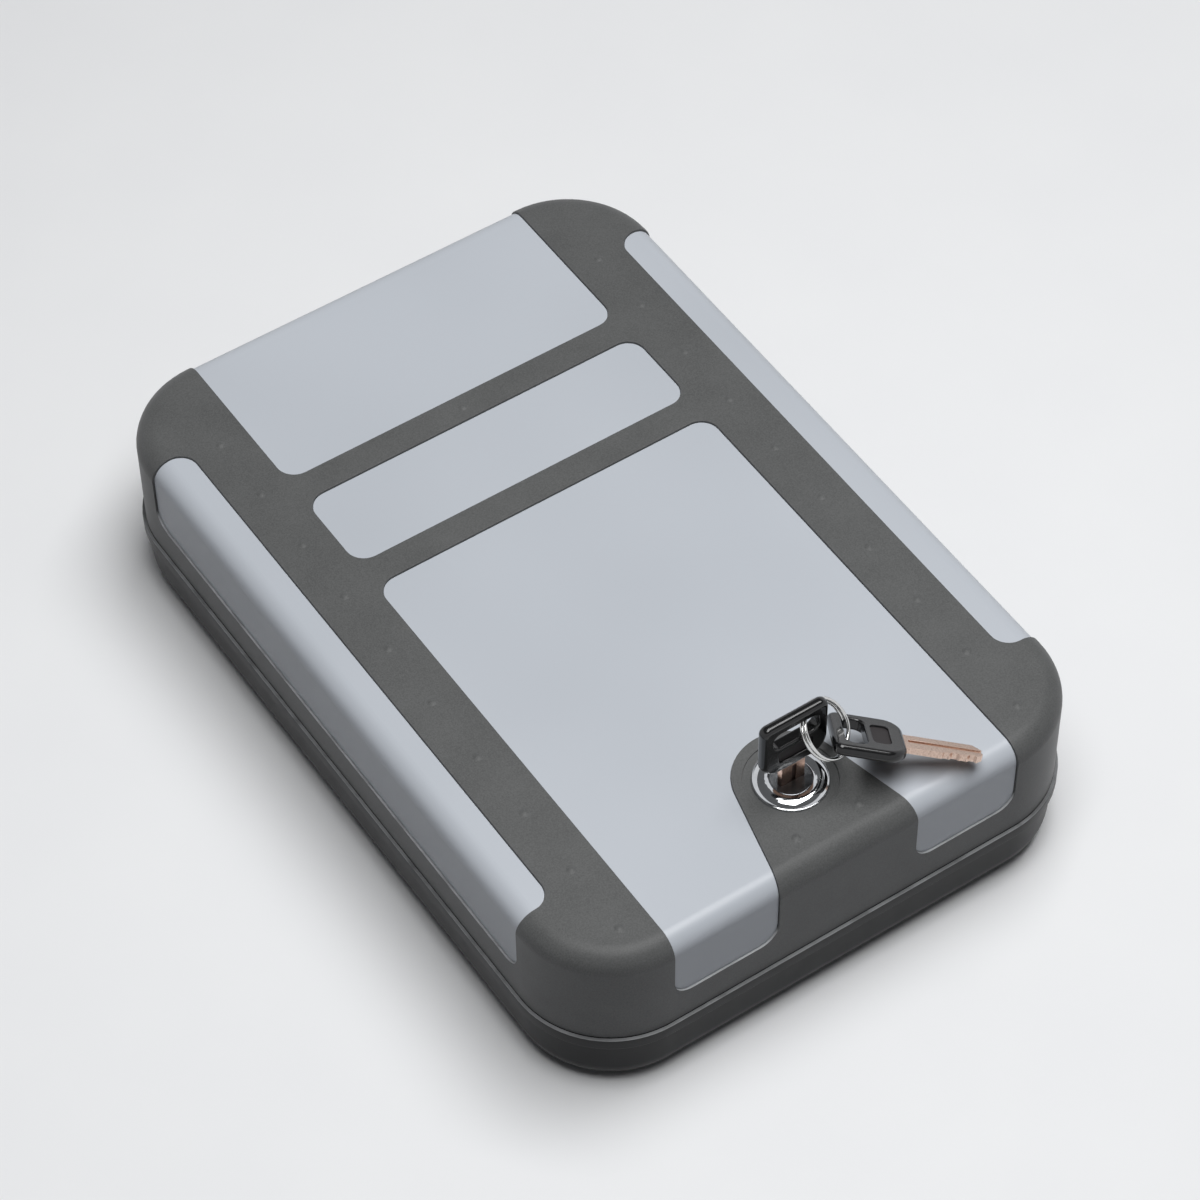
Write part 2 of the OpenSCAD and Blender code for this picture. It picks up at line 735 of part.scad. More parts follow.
module lock_plug() {
    key_w = blade_w + 2 * slide_gap;
    key_t = blade_t + 2 * slide_gap;
    slot_t = wafer_t + 2 * slide_gap;
    keyway_bottom = shoulder_z - blade_l - key_room;
    color("#c9b27a") placed() translate([0, lock_y, 0]) difference() {
        union() {
            translate([0, 0, cam_top]) cylinder(h = plug_shoulder - cam_top + plug_head_t / 2, r = plug_r);
            translate([0, 0, plug_shoulder]) rotate_extrude() rolled_section(plug_head_r, plug_roll, plug_head_t);
            translate([0, 0, cam_bottom + tail_short]) linear_extrude(cam_t) tail_section(0);
        }
        translate([-key_w / 2, -key_t / 2, keyway_bottom]) cube([key_w, key_t, tall]);
        for (z = wafer_z) translate([0, 0, z - slot_t / 2]) linear_extrude(slot_t) {
            square([4 * plug_r, wafer_w + 2 * slide_gap], center = true);
            translate([pocket_x, 0]) square([tab_x + tab_w + slide_gap - pocket_x, tab_y + slide_gap]);
        }
        translate([0, 0, cam_bottom - over]) cylinder(h = screw_l + over, r = screw_r + bond_gap);
    }
}

module wafers() {
    color("#d8b25a") placed() translate([0, lock_y, 0]) for (z = wafer_z)
        translate([0, 0, z - wafer_t / 2]) linear_extrude(wafer_t) difference() {
            wafer_outline(0);
            square([blade_w + 2 * slide_gap, blade_t + 2 * slide_gap], center = true);
        }
}

// Round wire wound about the z axis: the angle and height of each ring give its course
module wound_wire(angles, heights, radius, wire, sides) {
    count = len(angles);
    points = [for (i = [0:count - 1], j = [0:sides - 1])
        let (a = j * 360 / sides, out = radius + wire * cos(a))
        [out * cos(angles[i]), out * sin(angles[i]), heights[i] + wire * sin(a)]];
    walls = [for (i = [0:count - 2], j = [0:sides - 1])
        let (a = i * sides + j, b = i * sides + (j + 1) % sides)
        each [[a, b, b + sides], [a, b + sides, a + sides]]];
    start = [for (j = [1:sides - 2]) [0, j + 1, j]];
    last = (count - 1) * sides;
    end = [for (j = [1:sides - 2]) [last, last + j, last + j + 1]];
    polyhedron(points, concat(walls, start, end));
}

module wafer_springs() {
    room = tab_x - pocket_x - 2 * spring_wire - 2 * slide_gap;
    turn_steps = 8;
    steps = spring_turns * turn_steps;
    angles = [for (i = [0:steps]) i * 360 / turn_steps];
    heights = [for (i = [0:steps]) i * room / steps];
    spring_y = wafer_w / 2 + 2 * slide_gap + spring_r + spring_wire;
    color("#9da0a4") placed() translate([0, lock_y, 0]) for (z = wafer_z)
        translate([pocket_x + spring_wire + slide_gap, spring_y, z]) rotate([0, 90, 0])
            wound_wire(angles, heights, spring_r - spring_wire, spring_wire, 6);
}

module latch_cam() {
    color("#aeb1b5") placed() translate([0, lock_y, cam_bottom]) linear_extrude(cam_t) difference() {
        union() {
            circle(cam_hub_r);
            translate([0, -cam_w / 2]) square([cam_l - cam_w / 2, cam_w]);
            for (s = [0, 1]) mirror([0, s]) translate([cam_l - cam_w / 2, 0]) quarter_disc(cam_w / 2);
        }
        tail_section(slide_gap);
    }
}

module cam_washer() {
    color("#9b9ea2") placed() translate([0, lock_y, cam_bottom - cam_washer_t]) difference() {
        cylinder(h = cam_washer_t, r = cam_washer_r);
        cylinder(h = 3 * cam_washer_t, r = screw_r + bond_gap, center = true);
    }
}

module cam_screw() {
    color("#8f9296") placed() translate([0, lock_y, cam_bottom - cam_washer_t])
        pan_screw(screw_l + cam_washer_t - over);
}

// Key blade in its own frame: cut edge at -X, milled groove on both faces, embedded root above z = 0
module blade_form() {
    tip = 2.4;
    half = blade_w / 2;
    flat = wafer_t / 2;
    rotate([90, 0, 0]) difference() {
        linear_extrude(blade_t, center = true) difference() {
            polygon([
                [-half, blade_root], [-half, tip - blade_l], [-half + tip, -blade_l],
                [half - tip, -blade_l], [half, tip - blade_l], [half, blade_root]
            ]);
            for (i = [0:wafer_count - 1])
                let (z = wafer_z[i] - shoulder_z, d = key_cuts[i])
                polygon([
                    [-half - over, z + flat + d + over], [-half + d, z + flat],
                    [-half + d, z - flat], [-half - over, z - flat - d - over]
                ]);
        }
        for (s = [-1, 1]) translate([groove_x, -blade_l - over, s * blade_t / 2 - groove_d])
            cube([groove_w, blade_l, 2 * groove_d]);
    }
}

// Key bow in its own frame: eye for the ring, a sunk field on both faces, and the blade's pocket
module bow_form() {
    round_end = 2.5;
    round_neck = 6;
    field_r = 1.5;
    field_w = bow_w - 2 * field_in;
    field_h = eye_top - eye_h - field_low - field_gap;
    rotate([90, 0, 0]) difference() {
        linear_extrude(bow_t, center = true) difference() {
            union() {
                translate([0, (bow_l + round_neck) / 2]) round_rect(bow_w, bow_l - round_neck, round_end);
                translate([0, (bow_l - round_end) / 2]) round_rect(bow_w, bow_l - round_end, round_neck);
            }
            translate([0, eye_mid]) round_rect(eye_w, eye_h, eye_r);
        }
        for (s = [-1, 1]) translate([0, field_low + field_h / 2, s * bow_t / 2])
            linear_extrude(2 * field_sink, center = true) round_rect(field_w, field_h, field_r);
        translate([0, blade_root / 2, 0])
            cube([blade_w + 2 * bond_gap, blade_root + 2 * bond_gap, blade_t + 2 * bond_gap], center = true);
    }
}

// Puts the spare key on the ring
module at_spare() {
    translate(spare_grip) rotate([0, spare_dip, spare_turn]) rotate([spare_roll, 0, 0]) rotate([0, -90, 0])
        translate([0, 0, -spare_grip_z]) rotate([0, 0, 180]) children();
}

module key_blade() {
    color("#c98f63") placed() translate(key_at) blade_form();
}

module key_bow() {
    color("#17181a") placed() translate(key_at) bow_form();
}

module key_ring() {
    step = 15;
    open = 30; // each turn starts and stops this far from the step between the turns
    angles = [for (a = [open:step:720 - open]) a];
    heights = [for (a = angles)
        let (t = (a - 360 + open) / (2 * open)) ring_pitch * (min(max(t, 0), 1) - 0.5)];
    along = unit(ring_chord);
    axis = unit(cross(ring_lean, along));
    across = cross(axis, along);
    color("#b4b7bb") placed() translate(ring_mid) multmatrix([
        [along[0], across[0], axis[0], 0],
        [along[1], across[1], axis[1], 0],
        [along[2], across[2], axis[2], 0],
        [0, 0, 0, 1]
    ]) wound_wire(angles, heights, ring_r, ring_wire, 8);
}

module spare_blade() {
    color("#c98f63") placed() at_spare() blade_form();
}

module spare_bow() {
    color("#17181a") placed() at_spare() bow_form();
}

base_tub();
base_liner();
rubber_feet();
strike_plate();
strike_screws();
hinge_pins();
lid_shell();
lid_frame();
lid_liner();
lock_housing();
lock_washer();
lock_nut();
lock_plug();
wafers();
wafer_springs();
latch_cam();
cam_washer();
cam_screw();
key_blade();
key_bow();
key_ring();
spare_blade();
spare_bow();
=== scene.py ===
import json
import math

import bpy
from mathutils import Matrix, Vector


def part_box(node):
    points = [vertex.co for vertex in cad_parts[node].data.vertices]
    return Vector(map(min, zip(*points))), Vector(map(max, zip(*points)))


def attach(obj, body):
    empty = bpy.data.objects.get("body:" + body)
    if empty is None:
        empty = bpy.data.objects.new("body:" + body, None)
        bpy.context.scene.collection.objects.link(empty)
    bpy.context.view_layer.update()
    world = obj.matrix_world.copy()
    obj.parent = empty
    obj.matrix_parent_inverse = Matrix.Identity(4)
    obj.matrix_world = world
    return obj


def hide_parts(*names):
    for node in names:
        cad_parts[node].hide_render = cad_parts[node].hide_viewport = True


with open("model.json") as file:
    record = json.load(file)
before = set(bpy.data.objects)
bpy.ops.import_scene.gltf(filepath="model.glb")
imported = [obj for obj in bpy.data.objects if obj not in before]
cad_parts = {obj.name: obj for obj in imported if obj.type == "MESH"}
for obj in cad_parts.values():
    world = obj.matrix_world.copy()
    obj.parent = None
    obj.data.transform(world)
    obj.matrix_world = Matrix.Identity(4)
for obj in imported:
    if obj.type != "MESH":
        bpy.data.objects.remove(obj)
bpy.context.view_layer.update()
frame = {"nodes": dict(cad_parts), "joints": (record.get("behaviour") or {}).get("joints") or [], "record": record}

MM = 0.001
ONE_FACE = math.radians(0.4)  # faces that turn less than this are one face
SHARP = math.radians(32)  # edges that turn more than this are broken or rolled

scene = bpy.context.scene
bodies = frame["record"]["behaviour"]["bodies"]
body_of_node = {node: body for body, nodes in bodies.items() for node in nodes}
joint_at = {joint["name"]: Vector(joint["pos_m"]) for joint in frame["joints"] if "pos_m" in joint}
lock = joint_at["lock_turn"]
key_foot = Vector((lock.x, lock.y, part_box("key_bow")[0][2]))  # where the key's head starts, on its own axis


# Selecting and finishing a piece

def only(piece):
    """Makes one piece the selected and active object."""
    bpy.ops.object.select_all(action="DESELECT")
    piece.select_set(True)
    bpy.context.view_layer.objects.active = piece
    return piece


def edit(piece, *steps, whole=True):
    """Runs steps in edit mode, with all of a piece selected or with what is selected already."""
    only(piece)
    bpy.ops.object.mode_set(mode="EDIT")
    if whole:
        bpy.ops.mesh.select_all(action="SELECT")
    for step in steps:
        step()
    bpy.ops.object.mode_set(mode="OBJECT")
    return piece


def modified(piece, kind, **settings):
    """Adds a modifier with its settings and applies it."""
    only(piece)
    modifier = piece.modifiers.new(kind.lower(), kind)
    for name, value in settings.items():
        setattr(modifier, name, value)
    bpy.ops.object.modifier_apply(modifier=modifier.name)
    return piece


def smooth(piece):
    """Smooth shading that keeps large flat faces flat and edges past 35 degrees sharp."""
    only(piece)
    bpy.ops.object.shade_smooth_by_angle(angle=math.radians(35), keep_sharp_edges=False)
    modified(piece, "WEIGHTED_NORMAL", keep_sharp=True, weight=100)
    return piece


def copied(node, ending):
    """A merged copy of a CAD node, as a piece that rides and stands for it."""
    piece = bpy.data.objects.new(node + ending, frame["nodes"][node].data.copy())
    scene.collection.objects.link(piece)
    only(piece)
    bpy.ops.mesh.customdata_custom_splitnormals_clear()
    edit(
        piece,
        lambda: bpy.ops.mesh.remove_doubles(threshold=0.002 * MM),
        lambda: bpy.ops.mesh.dissolve_limited(angle_limit=ONE_FACE),
    )
    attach(piece, body_of_node[node])
    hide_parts(node)
    return piece


def select(piece, vertices=(), edges=(), faces=()):
    """Selects the given elements of a piece and nothing else."""
    mesh = piece.data
    for part, chosen in ((mesh.vertices, vertices), (mesh.edges, edges), (mesh.polygons, faces)):
        flags = [False] * len(part)
        for index in chosen:
            flags[index] = True
        part.foreach_set("select", flags)


def rolled(piece, width, steps, test):
    """Rolls round, by a width in millimetres, the sharp edges whose two ends pass a test. The new corners
    don't slide along their edges, because that would fold a large face over itself."""
    bpy.context.tool_settings.mesh_select_mode = (False, True, False)
    edit(
        piece,
        lambda: bpy.ops.mesh.select_all(action="DESELECT"),
        lambda: bpy.ops.mesh.edges_select_sharp(sharpness=SHARP),
    )
    mesh = piece.data
    chosen = [e for e in mesh.edges if e.select and all(test(mesh.vertices[v].co) for v in e.vertices)]
    select(piece, vertices={v for e in chosen for v in e.vertices}, edges=[e.index for e in chosen])
    edit(piece, lambda: bpy.ops.mesh.bevel(
        offset=width * MM, segments=steps, affect="EDGES",
        clamp_overlap=False, loop_slide=False, miter_outer="ARC",
    ), whole=False)
    return piece


def dressed(node, width):
    """A copy of a CAD node with its edges broken by a width in millimetres, as a mould or a tumbler does."""
    piece = copied(node, "_finished")
    modified(
        piece, "BEVEL", width=width * MM, segments=2, limit_method="ANGLE", angle_limit=SHARP,
        use_clamp_overlap=False,
    )
    return smooth(piece)


# Materials

def linear(code):
    """Linear RGBA of an sRGB hex value."""
    parts = [int(code[i:i + 2], 16) / 255 for i in (1, 3, 5)]
    return [c / 12.92 if c <= 0.04045 else ((c + 0.055) / 1.055) ** 2.4 for c in parts] + [1.0]


def per(size):
    """Texture scale whose features have a size in millimetres."""
    return 1 / (size * MM)


def new_material(name, **sockets):
    """A material and its shader, with the values that are the same all over set on the shader itself."""
    material = bpy.data.materials.new(name)
    material.use_nodes = True
    shader = material.node_tree.nodes["Principled BSDF"]
    for socket, value in sockets.items():
        shader.inputs[socket.replace("_", " ")].default_value = value
    return material, material.node_tree, shader


def add(tree, kind, inputs=None, **settings):
    """Adds one node with its settings. An input is a value, or the socket that feeds it."""
    node = tree.nodes.new(kind)
    for name, value in settings.items():
        setattr(node, name, value)
    for name, value in (inputs or {}).items():
        if isinstance(value, bpy.types.NodeSocket):
            tree.links.new(value, node.inputs[name])
        else:
            node.inputs[name].default_value = value
    return node


FACTOR, COLOUR_A, COLOUR_B, COLOUR_OUT = 0, 6, 7, 2  # sockets of a Mix node that mixes colours
RING_SCALE = 2 * math.pi / 20  # a Wave node turns 20 radians to the metre at scale 1


def painted_edge_highlight(tree, place, low, high, flat):
    """Mask for a painted highlight: edges that face up between two heights in millimetres are painted pale, as if
    lit from above, in uneven lengths. What lies flat gets a share of that."""
    outward = add(tree, "ShaderNodeTexCoord").outputs["Normal"]
    up = add(tree, "ShaderNodeSeparateXYZ", {"Vector": outward}).outputs["Z"]  # 0 on a wall and 1 on a top
    turned = add(tree, "ShaderNodeMapRange", {"Value": up, "From Min": 0.15, "From Max": 0.5})
    level = add(tree, "ShaderNodeMapRange", {
        "Value": up, "From Min": 0.88, "From Max": 0.98, "To Min": 1.0, "To Max": flat,
    })
    upward = add(tree, "ShaderNodeMath", {
        0: turned.outputs["Result"], 1: level.outputs["Result"],
    }, operation="MULTIPLY")
    height = add(tree, "ShaderNodeSeparateXYZ", {"Vector": place}).outputs["Z"]
    above = add(tree, "ShaderNodeMath", {0: height, 1: low * MM}, operation="GREATER_THAN")
    below = add(tree, "ShaderNodeMapRange", {
        "Value": height, "From Min": (high - 1) * MM, "From Max": high * MM, "To Min": 1.0, "To Max": 0.0,
    })
    band = add(tree, "ShaderNodeMath", {
        0: above.outputs["Value"], 1: below.outputs["Result"],
    }, operation="MULTIPLY")
    lengths = add(tree, "ShaderNodeTexNoise", {"Vector": place, "Scale": per(9), "Detail": 4.0})
    uneven = add(tree, "ShaderNodeMapRange", {
        "Value": lengths.outputs["Fac"], "From Min": 0.25, "From Max": 0.55, "To Min": 0.45, "To Max": 1.0,
    })
    edge = add(tree, "ShaderNodeMath", {
        0: upward.outputs["Value"], 1: band.outputs["Value"],
    }, operation="MULTIPLY")
    return add(tree, "ShaderNodeMath", {
        0: edge.outputs["Value"], 1: uneven.outputs["Result"],
    }, operation="MULTIPLY").outputs["Value"]


def beyond(tree, place, half_x, half_y, radius, middle_y):
    """1 where a place lies outside a rounded rectangle in plan, given in millimetres, and 0 inside it."""
    level = add(tree, "ShaderNodeMapping", {
        "Vector": place, "Location": (0, -middle_y * MM, 0), "Scale": (1, 1, 0),
    })
    side = add(tree, "ShaderNodeVectorMath", {0: level.outputs["Vector"]}, operation="ABSOLUTE")
    past = add(tree, "ShaderNodeVectorMath", {
        0: side.outputs["Vector"], 1: ((half_x - radius) * MM, (half_y - radius) * MM, 0),
    }, operation="SUBTRACT")
    corner = add(tree, "ShaderNodeVectorMath", {0: past.outputs["Vector"], 1: (0, 0, 0)}, operation="MAXIMUM")
    reach = add(tree, "ShaderNodeVectorMath", {0: corner.outputs["Vector"]}, operation="LENGTH")
    return add(tree, "ShaderNodeMath", {
        0: reach.outputs["Value"], 1: radius * MM,
    }, operation="GREATER_THAN").outputs["Value"]


def moulded_polycarbonate():
    """Polycarbonate, moulded in a satin-blasted tool: cool, clean and even, with a soft sheen. The faint
    orange peel only shows in the reflections, and a slow drift of tone keeps the broad panels from looking
    painted."""
    material, tree, shader = new_material("moulded_polycarbonate", IOR=1.585, Specular_IOR_Level=0.35)
    place = add(tree, "ShaderNodeTexCoord").outputs["Object"]
    drift = add(tree, "ShaderNodeTexNoise", {"Vector": place, "Scale": per(70), "Detail": 1.0})
    tone = add(tree, "ShaderNodeMix", {
        FACTOR: drift.outputs["Fac"], COLOUR_A: linear("#AFB4BB"), COLOUR_B: linear("#BBC0C7"),
    }, data_type="RGBA")
    tree.links.new(tone.outputs[COLOUR_OUT], shader.inputs["Base Color"])
    satin = add(tree, "ShaderNodeTexNoise", {"Vector": place, "Scale": per(1.1), "Detail": 3.0})
    gloss = add(tree, "ShaderNodeMapRange", {"Value": satin.outputs["Fac"], "To Min": 0.30, "To Max": 0.42})
    tree.links.new(gloss.outputs["Result"], shader.inputs["Roughness"])
    peel = add(tree, "ShaderNodeTexNoise", {"Vector": place, "Scale": per(3.2), "Detail": 2.0})
    blast = add(tree, "ShaderNodeTexNoise", {"Vector": place, "Scale": per(0.22), "Detail": 1.0})
    waves = add(tree, "ShaderNodeBump", {
        "Height": peel.outputs["Fac"], "Strength": 0.6, "Distance": 0.02 * MM,
    })
    skin = add(tree, "ShaderNodeBump", {
        "Height": blast.outputs["Fac"], "Normal": waves.outputs["Normal"],
        "Strength": 0.25, "Distance": 0.008 * MM,
    })
    tree.links.new(skin.outputs["Normal"], shader.inputs["Normal"])
    return material


def moulded_elastomer():
    """Thermoplastic elastomer moulded over the shell, with a spark-eroded texture: a dry, dark grey that takes a
    soft light on its rolled edges, with a painted highlight in pale grey along the thin lower edges that face up.
    The 0.25 mm grit is drawn at 0.45 mm, so that it shows at this distance."""
    material, tree, shader = new_material(
        "moulded_elastomer", IOR=1.5, Specular_IOR_Level=0.32, Sheen_Weight=0.12, Sheen_Roughness=0.45)
    place = add(tree, "ShaderNodeTexCoord").outputs["Object"]
    cloud = add(tree, "ShaderNodeTexNoise", {"Vector": place, "Scale": per(14), "Detail": 3.0})
    grit = add(tree, "ShaderNodeTexNoise", {
        "Vector": place, "Scale": per(0.45), "Detail": 3.0, "Roughness": 0.6,
    })
    both = add(tree, "ShaderNodeMath", {
        0: cloud.outputs["Fac"], 1: 0.35, 2: grit.outputs["Fac"],
    }, operation="MULTIPLY_ADD")
    spread = add(tree, "ShaderNodeMapRange", {
        "Value": both.outputs["Value"], "From Min": 0.42, "From Max": 0.9,
    })
    tone = add(tree, "ShaderNodeMix", {
        FACTOR: spread.outputs["Result"], COLOUR_A: linear("#484949"), COLOUR_B: linear("#5C5D5D"),
    }, data_type="RGBA")
    # painted highlight: pale grey on the upward-facing lower edges of the windows and the skirt
    lower_edge_highlight = painted_edge_highlight(tree, place, low=30, high=44, flat=1.0)
    highlighted_tone = add(tree, "ShaderNodeMix", {
        FACTOR: lower_edge_highlight, COLOUR_A: tone.outputs[COLOUR_OUT], COLOUR_B: linear("#B2B4B6"),
    }, data_type="RGBA")
    tree.links.new(highlighted_tone.outputs[COLOUR_OUT], shader.inputs["Base Color"])
    gloss = add(tree, "ShaderNodeMapRange", {"Value": grit.outputs["Fac"], "To Min": 0.42, "To Max": 0.60})
    tree.links.new(gloss.outputs["Result"], shader.inputs["Roughness"])
    skin = add(tree, "ShaderNodeBump", {
        "Height": grit.outputs["Fac"], "Strength": 0.55, "Distance": 0.05 * MM,
    })
    tree.links.new(skin.outputs["Normal"], shader.inputs["Normal"])
    return material


def moulded_abs():
    """Black ABS from a lightly blasted tool: deep black with a broad low gloss, and a painted highlight in pale
    grey on the rim's upward-facing edge where it stands proud of the lid."""
    material, tree, shader = new_material("moulded_abs", IOR=1.54, Specular_IOR_Level=0.18)
    place = add(tree, "ShaderNodeTexCoord").outputs["Object"]
    patch = add(tree, "ShaderNodeTexNoise", {"Vector": place, "Scale": per(6), "Detail": 4.0})
    # painted highlight: pale grey on the upward-facing rim edge outside the lid's outline
    rim = painted_edge_highlight(tree, place, low=22.2, high=25.5, flat=0.5)
    outside_lid = beyond(tree, place, half_x=89, half_y=129.1, radius=30, middle_y=-4)
    proud = add(tree, "ShaderNodeMath", {0: rim, 1: outside_lid}, operation="MULTIPLY")
    tone = add(tree, "ShaderNodeMix", {
        FACTOR: proud.outputs["Value"], COLOUR_A: linear("#131315"), COLOUR_B: linear("#B4B6B8"),
    }, data_type="RGBA")
    tree.links.new(tone.outputs[COLOUR_OUT], shader.inputs["Base Color"])
    blast = add(tree, "ShaderNodeTexNoise", {"Vector": place, "Scale": per(0.5), "Detail": 2.0})
    gloss = add(tree, "ShaderNodeMapRange", {"Value": patch.outputs["Fac"], "To Min": 0.30, "To Max": 0.42})
    tree.links.new(gloss.outputs["Result"], shader.inputs["Roughness"])
    skin = add(tree, "ShaderNodeBump", {
        "Height": blast.outputs["Fac"], "Strength": 0.4, "Distance": 0.025 * MM,
    })
    tree.links.new(skin.outputs["Normal"], shader.inputs["Normal"])
    return material


def cut_foam():
    """Open-cell polyurethane foam, split from a block: dull charcoal with small torn cells, their pits darkened
    with painted shade. The 0.6 mm cells are drawn at 0.9 mm, so that they show."""
    material, tree, shader = new_material(
        "cut_foam", Roughness=0.95, IOR=1.45, Sheen_Weight=0.35, Sheen_Roughness=0.6)
    place = add(tree, "ShaderNodeTexCoord").outputs["Object"]
    cells = add(tree, "ShaderNodeTexVoronoi", {"Vector": place, "Scale": per(0.9), "Randomness": 1.0})
    torn = add(tree, "ShaderNodeTexNoise", {"Vector": place, "Scale": per(5), "Detail": 4.0})
    # painted shade: the tone darkens towards each cell's pit, where the bump sinks, broken up by the torn noise
    depth = add(tree, "ShaderNodeMath", {
        0: cells.outputs["Distance"], 1: torn.outputs["Fac"],
    }, operation="MULTIPLY")
    spread = add(tree, "ShaderNodeMapRange", {
        "Value": depth.outputs["Value"], "From Min": 0.05, "From Max": 0.4,
    })
    tone = add(tree, "ShaderNodeMix", {
        FACTOR: spread.outputs["Result"], COLOUR_A: linear("#1F2124"), COLOUR_B: linear("#45484D"),
    }, data_type="RGBA")
    tree.links.new(tone.outputs[COLOUR_OUT], shader.inputs["Base Color"])
    pits = add(tree, "ShaderNodeBump", {
        "Height": cells.outputs["Distance"], "Strength": 0.9, "Distance": 0.3 * MM,
    })
    tree.links.new(pits.outputs["Normal"], shader.inputs["Normal"])
    return material


def moulded_rubber():
    """Black natural rubber, compression moulded: flat and slightly dusty, with a faint bloom in patches."""
    material, tree, shader = new_material("moulded_rubber", IOR=1.52)
    place = add(tree, "ShaderNodeTexCoord").outputs["Object"]
    bloom = add(tree, "ShaderNodeTexNoise", {"Vector": place, "Scale": per(3), "Detail": 5.0})
    tone = add(tree, "ShaderNodeMix", {
        FACTOR: bloom.outputs["Fac"], COLOUR_A: linear("#161616"), COLOUR_B: linear("#2A2A29"),
    }, data_type="RGBA")
    tree.links.new(tone.outputs[COLOUR_OUT], shader.inputs["Base Color"])
    gloss = add(tree, "ShaderNodeMapRange", {"Value": bloom.outputs["Fac"], "To Min": 0.68, "To Max": 0.9})
    tree.links.new(gloss.outputs["Result"], shader.inputs["Roughness"])
    skin = add(tree, "ShaderNodeBump", {
        "Height": bloom.outputs["Fac"], "Strength": 0.4, "Distance": 0.04 * MM,
    })
    tree.links.new(skin.outputs["Normal"], shader.inputs["Normal"])
    return material


def zinc_plate():
    """Steel stamped and zinc plated: a bluish bright grey that clouds unevenly, with the punch's grain."""
    material, tree, shader = new_material("zinc_plate", Metallic=1.0)
    place = add(tree, "ShaderNodeTexCoord").outputs["Object"]
    cloud = add(tree, "ShaderNodeTexNoise", {
        "Vector": place, "Scale": per(3), "Detail": 4.0, "Distortion": 0.6,
    })
    tone = add(tree, "ShaderNodeMix", {
        FACTOR: cloud.outputs["Fac"], COLOUR_A: linear("#9DA3AB"), COLOUR_B: linear("#C9CBC8"),
    }, data_type="RGBA")
    tree.links.new(tone.outputs[COLOUR_OUT], shader.inputs["Base Color"])
    gloss = add(tree, "ShaderNodeMapRange", {"Value": cloud.outputs["Fac"], "To Min": 0.25, "To Max": 0.45})
    tree.links.new(gloss.outputs["Result"], shader.inputs["Roughness"])
    grain = add(tree, "ShaderNodeTexNoise", {"Vector": place, "Scale": per(0.3), "Detail": 2.0})
    skin = add(tree, "ShaderNodeBump", {
        "Height": grain.outputs["Fac"], "Strength": 0.4, "Distance": 0.02 * MM,
    })
    tree.links.new(skin.outputs["Normal"], shader.inputs["Normal"])
    return material


def drawn_wire():
    """Nickel-plated spring wire, drawn: bright and hard, with small breaks in the gloss from handling."""
    material, tree, shader = new_material("drawn_wire", Metallic=1.0)
    place = add(tree, "ShaderNodeTexCoord").outputs["Object"]
    rub = add(tree, "ShaderNodeTexNoise", {"Vector": place, "Scale": per(1.4), "Detail": 4.0})
    tone = add(tree, "ShaderNodeMix", {
        FACTOR: rub.outputs["Fac"], COLOUR_A: linear("#C6C6C5"), COLOUR_B: linear("#E6E6E4"),
    }, data_type="RGBA")
    tree.links.new(tone.outputs[COLOUR_OUT], shader.inputs["Base Color"])
    gloss = add(tree, "ShaderNodeMapRange", {"Value": rub.outputs["Fac"], "To Min": 0.05, "To Max": 0.18})
    tree.links.new(gloss.outputs["Result"], shader.inputs["Roughness"])
    skin = add(tree, "ShaderNodeBump", {
        "Height": rub.outputs["Fac"], "Strength": 0.3, "Distance": 0.01 * MM,
    })
    tree.links.new(skin.outputs["Normal"], shader.inputs["Normal"])
    return material


def chrome_plate():
    """Chrome over a polished zinc casting: near mirror, with the slow ripple of a hand-held buff and light
    smears."""
    material, tree, shader = new_material("chrome_plate", Metallic=1.0)
    place = add(tree, "ShaderNodeTexCoord").outputs["Object"]
    smear = add(tree, "ShaderNodeTexNoise", {
        "Vector": place, "Scale": per(4), "Detail": 5.0, "Distortion": 1.0,
    })
    tone = add(tree, "ShaderNodeMix", {
        FACTOR: smear.outputs["Fac"], COLOUR_A: linear("#C4C6C9"), COLOUR_B: linear("#DCDEE0"),
    }, data_type="RGBA")
    tree.links.new(tone.outputs[COLOUR_OUT], shader.inputs["Base Color"])
    gloss = add(tree, "ShaderNodeMapRange", {"Value": smear.outputs["Fac"], "To Min": 0.03, "To Max": 0.12})
    tree.links.new(gloss.outputs["Result"], shader.inputs["Roughness"])
    ripple = add(tree, "ShaderNodeTexNoise", {"Vector": place, "Scale": per(2), "Detail": 1.0})
    skin = add(tree, "ShaderNodeBump", {
        "Height": ripple.outputs["Fac"], "Strength": 0.5, "Distance": 0.015 * MM,
    })
    tree.links.new(skin.outputs["Normal"], shader.inputs["Normal"])
    return material


